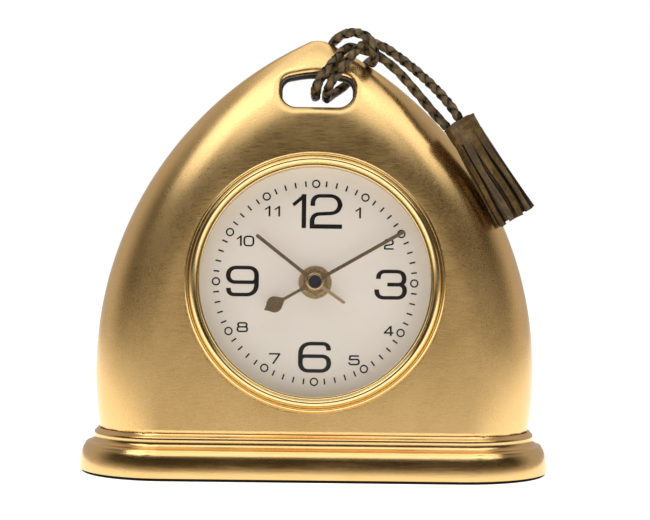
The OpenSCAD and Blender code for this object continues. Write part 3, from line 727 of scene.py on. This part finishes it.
plinth_profile = ([(PR - 6.5, PAD), (PR - 1.6, PAD)] + arc_pts(PR - 0.75, PAD + 0.6, 0.75, 0.6, -80, 0, 5)
  + arc_pts(PR - 4.0, 2.2, 4.0, 10.6, 4, 66, 18) + [(PR - 2.62, 12.3), (PR - 2.85, 12.75), (PR - 3.2, 13.0)]
  + arc_pts(PR - 3.2, 16.35, 3.3, 3.1, 262, 188, 14) + arc_pts(PR - 7.55, 16.8, 1.1, 1.5, -10, 75, 8)
  + [(PR - 8.1, 19.4), (PR - 14, 19.4), (PR - 14, 14), (PR - 6.5, 14)])
plinth = sweep_stadium("plinth_casting", plinth_profile, M_PLINTH)
sharp(plinth, 50)
pad = sweep_stadium("felt_base", [(0.0, 0.0), (PR - 1.6, 0.0), (PR - 1.15, 0.25), (PR - 1.0, 0.7), (PR - 1.2, PAD), (0.0, PAD)], M_FELT)
for o, nd, sl in ((plinth, "plinth", "case"), (pad, "felt_pad", "felt")):
    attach(o, "clock")
    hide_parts(nd)

# ------------------------------------------------------------------ bezel
BR, VR = 56.5, 49.8
bez = ([(54.0, 4.6), (BR - 0.15, 4.6), (BR, 4.8), (BR, 6.3)] + arc_pts(BR - 1.0, 6.6, 1.0, 1.35, 0, 160, 14) + [(BR - 2.0, 7.35), (BR - 2.25, 7.5)]
  + arc_pts(BR - 4.0, 8.3, 1.9, 3.0, 12, 150, 20) + [(BR - 5.85, 9.95), (VR + 0.5, 9.92)] + arc_pts(VR + 0.35, 9.72, 0.35, 0.2, 90, 180, 4) + [(VR + 0.2, 9.66), (54.0, 9.66)])
bezel = lathe("bezel_ring", bez, 256, M_BEZEL, dial)
sharp(bezel, 42)
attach(bezel, "clock")
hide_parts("bezel")

# ------------------------------------------------------------------ CAD pieces kept, with their own materials
M_REHAUT = brass("rehaut_brass", (0.62, 0.46, 0.2), (0.7, 0.53, 0.25), 0.25, brush_scale=400, strength=0.05)
M_DIAL, nt, p = material("dial_enamel_glow")
fine = noise(nt, coords(nt, (1, 1, 1)), 2600.0, 3.0, 0.6)
cloud = noise(nt, coords(nt, (1, 1, 1)), 30.0, 3.0, 0.5)
nt.links.new(mix(nt, (0.77, 0.705, 0.625), (0.81, 0.745, 0.665), remap(nt, cloud, 0.3, 0.7, 0, 1)), p.inputs["Base Color"])
nt.links.new(remap(nt, fine, 0.3, 0.7, 0.5, 0.62), p.inputs["Roughness"])
# painted light: a faint self-glow that brightens the dial, not a lamp
p.inputs["Emission Color"].default_value = (0.9, 0.81, 0.70, 1)
p.inputs["Emission Strength"].default_value = 0.10
bump(nt, p, fine, 0.08, 0.00003)
M_INK = plain("printed_ink", (0.006, 0.005, 0.005), 0.62, grain=2500, bump_s=0.05, spec=0.2)
M_HAND = brass("bronzed_hand", (0.30, 0.22, 0.13), (0.38, 0.28, 0.18), 0.3, brush_scale=1600, strength=0.03)
M_AHAND = brass("gilt_hand", (0.72, 0.55, 0.34), (0.8, 0.64, 0.42), 0.3, brush_scale=1200, strength=0.1)
M_NUT = brass("aged_brass", (0.42, 0.29, 0.15), (0.58, 0.43, 0.24), 0.28, brush_scale=900, strength=0.08)
M_WASH = brass("washer_brass", (0.6, 0.44, 0.24), (0.68, 0.52, 0.3), 0.3, brush_scale=900, strength=0.15)
M_STEEL = brass("plated_steel", (0.52, 0.52, 0.53), (0.6, 0.6, 0.6), 0.3, brush_scale=700, strength=0.1)
M_PLASTIC = plain("black_moulding", (0.018, 0.018, 0.02), 0.42, grain=1400, bump_s=0.25)
M_KNOB = plain("knob_moulding", (0.03, 0.03, 0.034), 0.35, grain=1200, bump_s=0.2)
M_WHITE = plain("ivory_moulding", (0.66, 0.63, 0.55), 0.4, grain=900, bump_s=0.15)
M_WHEEL = plain("acetal", (0.7, 0.67, 0.58), 0.38, grain=900, bump_s=0.12)
M_BOARD = plain("circuit_laminate", (0.03, 0.16, 0.06), 0.35, grain=600, bump_s=0.2)
M_COPPER = brass("enamelled_wire", (0.6, 0.26, 0.12), (0.7, 0.34, 0.16), 0.3, brush=(1, 1, 0.1), brush_scale=2500, strength=0.5)
M_BATT = plain("battery_sleeve", (0.02, 0.05, 0.12), 0.25, grain=500, bump_s=0.05)
M_RUBBER = plain("rubber", (0.015, 0.015, 0.015), 0.7, grain=900, bump_s=0.3)

# painted shade: near-black material for the disc that fills the hub's recess, in place of the shade inside the hollow
# hub
M_HOLE_SHADE = plain("hub_hole_shade", (0.012, 0.012, 0.028), 0.4, metal=0.2, grain=900, bump_s=0.1)

M_GLASS, nt, p = material("crystal_glass")
p.inputs["Base Color"].default_value = (0.97, 1.0, 0.99, 1)
p.inputs["Metallic"].default_value = 1.0
smudge = noise(nt, coords(nt, (1, 1, 1)), 60.0, 4.0, 0.6)
nt.links.new(remap(nt, smudge, 0.35, 0.75, 0.015, 0.05), p.inputs["Roughness"])
fr = node(nt, "ShaderNodeLayerWeight")
fr.inputs["Blend"].default_value = 0.5
pw = node(nt, "ShaderNodeMath", operation="POWER")
pw.inputs[1].default_value = 5.0
nt.links.new(fr.outputs["Facing"], pw.inputs[0])
nt.links.new(remap(nt, pw.outputs[0], 0.0, 1.0, 0.03, 0.8), p.inputs["Alpha"])


def rounded(points, radii, n=9):
    """A polyline whose corners turn in squarish curves."""
    out = [np.array(points[0], float)]
    for i in range(1, len(points) - 1):
        p0, p1, p2 = (np.array(points[k], float) for k in (i - 1, i, i + 1))
        r = radii[i - 1] if isinstance(radii, (list, tuple)) else radii
        a, b = p0 - p1, p2 - p1
        la, lb = np.linalg.norm(a), np.linalg.norm(b)
        ra, rb = min(r, la), min(r, lb)
        q0, q3 = p1 + a / la * ra, p1 + b / lb * rb
        q1, q2 = q0 + (p1 - q0) * 0.64, q3 + (p1 - q3) * 0.64
        for t in np.linspace(0, 1, n):
            out.append(q0 * (1 - t) ** 3 + 3 * q1 * t * (1 - t) ** 2 + 3 * q2 * t * t * (1 - t) + q3 * t ** 3)
    out.append(np.array(points[-1], float))
    keep = [out[0]]
    for q in out[1:]:
        if np.linalg.norm(q - keep[-1]) > 0.02:
            keep.append(q)
    return np.array(keep)


INK = {"v": [], "f": []}


def stroke(path, wide, high, h0=0.012, h1=0.09):
    """Ink drawn along a path with a pen that is wide by high, in mm on the dial."""
    t = np.gradient(path, axis=0)
    t /= np.linalg.norm(t, axis=1)[:, None]
    nx, ny = -t[:, 1], t[:, 0]
    a, b = wide / 2, high / 2
    off = np.c_[a * a * nx, b * b * ny] / np.hypot(a * nx, b * ny)[:, None]
    n, base = len(path), len(INK["v"])
    rows = []
    for sgn, h in ((-1, h0), (-1, h1), (1, h1), (1, h0)):
        rows.append(np.c_[path + sgn * off, np.full(n, h)])
    rows = np.stack(rows, axis=1).reshape(-1, 3)
    INK["v"] += [tuple(q) for q in rows]
    for i in range(n - 1):
        for j in range(4):
            INK["f"].append((base + i * 4 + j, base + i * 4 + (j + 1) % 4, base + (i + 1) * 4 + (j + 1) % 4, base + (i + 1) * 4 + j))
    INK["f"] += [(base, base + 3, base + 2, base + 1), tuple(base + (n - 1) * 4 + j for j in range(4))]


def at(px):
    """Places measured on the picture of the dial, in mm from its centre."""
    return [((x - 786) * 0.0631, (775 - y) * 0.0631) for x, y in px]


VW, HW = 2.05, 1.55
stroke(np.array(at([(703, 163), (703, 400)])), 1.95, 1.9, h1=0.088)
stroke(np.array(at([(708, 172), (628, 240)])), 1.5, 1.5, h1=0.086)
stroke(rounded(at([(764, 244), (764, 174), (953, 174), (953, 292), (862, 297), (760, 303), (760, 388)]), [3.4, 4.6, 4.2, 1.2, 3.2]), VW, HW)
stroke(np.array(at([(744, 387), (968, 387)])), 1.9, 1.9, h1=0.088)
stroke(rounded(at([(1222, 746), (1222, 694), (1400, 694), (1400, 784), (1284, 784)]), [3.0, 3.2, 2.4]), VW, HW)
stroke(rounded(at([(1290, 785), (1404, 785), (1404, 876), (1211, 876), (1211, 819)]), [2.6, 3.4, 3.2]), VW, HW, h1=0.088)
six = at([(884, 1243), (884, 1197), (691, 1197), (691, 1384), (887, 1384), (887, 1283), (691, 1283), (691, 1330)])
stroke(rounded(six, [2.6, 4.6, 3.6, 3.6, 3.2, 2.0]), VW, HW)
cx6, cy6 = at([(789, 1290)])[0]
cx9, cy9 = at([(284, 772)])[0]
stroke(rounded([(cx9 - (x - cx6), cy9 - (y - cy6)) for x, y in six], [2.6, 4.6, 3.6, 3.6, 3.2, 2.0]), VW, HW)
SW, SH = 0.78, 0.66


def small(c, px, py, w_, h_):
    cx, cy = at([(px, py)])[0]
    q = lambda pts: [(cx + x * w_, cy + y * h_) for x, y in pts]
    e = 0.44
    if c == 1:
        stroke(np.array(q([(0.0, e + 0.06), (0.0, -e - 0.06)])), SW, SH)
        stroke(np.array(q([(0.02, e), (-0.55, 0.14)])), SW * 0.8, SH * 0.8, h1=0.086)
    if c == 2:
        stroke(rounded(q([(-e, 0.2), (-e, e), (e, e), (e, 0.0), (-e, -0.12), (-e, -e), (e + 0.06, -e)]), [1.0, 1.3, 0.9, 0.8, 0.05]), SW, SH)
    if c == 4:
        stroke(np.array(q([(0.22, 0.5), (0.22, -0.5)])), SW, SH)
        stroke(np.array(q([(0.2, 0.46), (-0.44, -0.2)])), SW * 0.85, SH * 0.85, h1=0.086)
        stroke(np.array(q([(-0.5, -0.2), (0.5, -0.2)])), SH, SH, h1=0.084)
    if c == 5:
        stroke(rounded(q([(e, e), (-0.36, e), (-0.4, 0.06), (e, 0.1), (e, -e), (-e, -e), (-e, -0.22)]), [0.08, 0.15, 1.1, 1.1, 0.9]), SW, SH)
    if c == 7:
        stroke(rounded(q([(-0.48, e), (0.42, e), (-0.14, -0.5)]), [0.12]), SW, SH)
    if c in (0, 8):
        for top, bot in ((((e, -e),) if c == 0 else ((e, 0.03), (0.03, -e)))):
            m = (top + bot) / 2
            x_ = e if c == 0 or bot < 0 else e - 0.04
            ring = [(0, top), (x_, top), (x_, bot), (-x_, bot), (-x_, top), (0, top)]
            stroke(rounded(q(ring), 1.35 if c == 0 else 0.95), SW, SH)


for c, px, py, w_, h_ in ((1, 465, 284, 3.6, 4.6), (1, 532, 284, 3.6, 4.6), (1, 1092, 290, 3.6, 4.8), (2, 1293, 506, 4.1, 4.5), (4, 1296, 1104, 4.2, 4.3), (5, 1060, 1308, 4.8, 4.2),
    (7, 514, 1302, 5.2, 4.6), (8, 289, 1089, 4.8, 4.2), (1, 270, 492, 3.2, 4.6), (0, 325, 494, 4.5, 4.6)):
    small(c, px, py, w_, h_)
figures_ink = obj_from("numeral_ink", dial(INK["v"]), INK["f"], M_INK, smooth=False)
fix_normals(figures_ink)
INK = {"v": [], "f": []}
for i in range(60):
    a = math.radians(6 * i)
    d = np.array([math.sin(a), math.cos(a)])
    if i % 5:
        stroke(np.array([d * 42.0, d * 44.5]), 0.66, 0.66)
    else:
        c = d * 43.15
        stroke(np.array([c + 1.53 * np.array([math.cos(k * math.pi / 20), math.sin(k * math.pi / 20)]) for k in range(41)]), 0.62, 0.62)
track_ink = obj_from("minute_ink", dial(INK["v"]), INK["f"], M_INK, smooth=False)
fix_normals(track_ink)
for o, nd in ((figures_ink, "dial_numerals"), (track_ink, "dial_minute_track")):
    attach(o, "clock")
    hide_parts(nd)

hub = lathe("hub_ring", [(2.7, 6.1), (2.7, 7.3), (2.8, 7.46), (3.05, 7.52), (3.4, 7.45), (3.75, 7.25), (3.9, 6.95), (3.9, 6.1), (3.1, 6.05)], 96, M_NUT, dial)
sharp(hub, 40)
# painted shade: a dark disc set in the hub ring's recess in place of its shaded hollow
well = lathe("hub_well", [(0.01, 7.21), (0.01, 7.27), (1.2, 7.25), (2.2, 7.27), (2.74, 7.3), (2.74, 7.2)], 64, M_HOLE_SHADE, dial)
sharp(well, 40)
for o in (hub, well):
    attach(o, "minute")
    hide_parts("hand_nut")

MATS = {"crystal": M_GLASS, "rehaut_ring": M_REHAUT, "mounting_ring": M_WASH, "ring_clips": M_STEEL, "clip_screws": M_STEEL, "case_screws": M_STEEL,
  "dial_plate": M_DIAL, "dial_washer": M_WASH, "hex_nut": M_NUT, "threaded_bushing": M_NUT, "movement_seal": M_RUBBER,
  "movement_front": M_PLASTIC, "movement_rear": M_PLASTIC, "movement_screws": M_STEEL, "middle_plate": M_WHEEL, "circuit_board": M_BOARD, "quartz_can": M_STEEL,
  "motor_coil": M_COPPER, "stator": M_STEEL, "rotor": M_STEEL, "step_wheel": M_WHEEL, "third_wheel": M_WHEEL, "centre_wheel": M_WHEEL, "minute_arbor": M_NUT,
  "set_wheel": M_WHEEL, "hour_wheel": M_WHEEL, "alarm_wheel": M_WHEEL, "alarm_pinion": M_WHEEL, "time_set_knob": M_KNOB, "alarm_set_knob": M_KNOB,
  "alarm_switch": M_WHITE, "buzzer": M_WASH, "battery": M_BATT, "contact_positive": M_STEEL, "contact_negative": M_STEEL,
  "minute_hand": M_HAND, "hour_hand": M_HAND, "alarm_hand": M_AHAND}
for name, m in MATS.items():
    o = frame_node(name)
    if len(o.material_slots):
        for s in o.material_slots:
            s.material = m
    else:
        o.data.materials.append(m)

# ------------------------------------------------------------------ stage and light
floor = obj_from("floor", [(-6, -6, 0), (6, -6, 0), (6, 6, 0), (-6, 6, 0)], [(0, 1, 2, 3)])
fm, nt, p = material("floor_paper")
p.inputs["Base Color"].default_value = (0.9, 0.9, 0.9, 1)
p.inputs["Roughness"].default_value = 0.9
p.inputs["Specular IOR Level"].default_value = 0.1
p.inputs["Emission Color"].default_value = (1, 1, 1, 1)
p.inputs["Emission Strength"].default_value = 0.85
floor.data.materials.append(fm)
floor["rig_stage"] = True

w = bpy.data.worlds.new("studio")
bpy.context.scene.world = w
w.use_nodes = True
wn = w.node_tree
bg = wn.nodes["Background"]
tc = node(wn, "ShaderNodeTexCoord")
sep = node(wn, "ShaderNodeSeparateXYZ")
wn.links.new(tc.outputs["Generated"], sep.inputs[0])
elev = ramp(wn, remap(wn, sep.outputs["Z"], -1.0, 1.0, 0.0, 1.0), [
  (0.0, (0.6, 0.58, 0.55)), (0.535, (0.47, 0.435, 0.375)), (0.56, (0.2, 0.175, 0.14)), (0.60, (0.062, 0.047, 0.028)), (0.70, (0.045, 0.034, 0.021)),
  (0.78, (0.03, 0.025, 0.02)), (0.88, (0.2, 0.195, 0.19)), (1.0, (0.5, 0.5, 0.5))])
rear = remap(wn, sep.outputs["Y"], -0.15, 0.35, 0.0, 1.0)
env = mix(wn, elev, (0.52, 0.48, 0.455), rear)
wn.links.new(env, bg.inputs["Color"])
bg.inputs["Strength"].default_value = 1.0
white = node(wn, "ShaderNodeBackground")
white.inputs["Color"].default_value = (1, 1, 1, 1)
white.inputs["Strength"].default_value = 1.0
lp = node(wn, "ShaderNodeLightPath")
ms = node(wn, "ShaderNodeMixShader")
wn.links.new(lp.outputs["Is Camera Ray"], ms.inputs[0])
wn.links.new(bg.outputs[0], ms.inputs[1])
wn.links.new(white.outputs[0], ms.inputs[2])
wn.links.new(ms.outputs[0], wn.nodes["World Output"].inputs["Surface"])


def area(name, loc, look, size, power, color=(1, 1, 1)):
    d = bpy.data.lights.new(name, "AREA")
    d.shape = "RECTANGLE"
    d.size, d.size_y = size
    d.energy = power
    d.color = color
    o = bpy.data.objects.new(name, d)
    bpy.context.scene.collection.objects.link(o)
    o.matrix_world = Matrix.Translation(loc) @ (Vector(look) - Vector(loc)).to_track_quat("-Z", "Y").to_matrix().to_4x4()
    return o


area("box_left", (-0.66, -0.40, 1.06), (0, 0, 0.12), (0.5, 0.6), 2.0)
area("box_right", (0.66, -0.40, 1.06), (0, 0, 0.12), (0.5, 0.6), 1.5)
area("front_top", (0.0, -0.75, 1.45), (0, 0, 0.1), (1.3, 0.9), 5)
area("overhead", (0.0, 0.35, 1.5), (0, 0, 0.0), (1.4, 0.9), 3)
bpy.context.scene.view_settings.view_transform = "Standard"

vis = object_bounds()
{"cad": [list(map(float, q)) for q in CAD_BOX], "visual": [list(map(float, q)) for q in vis]}
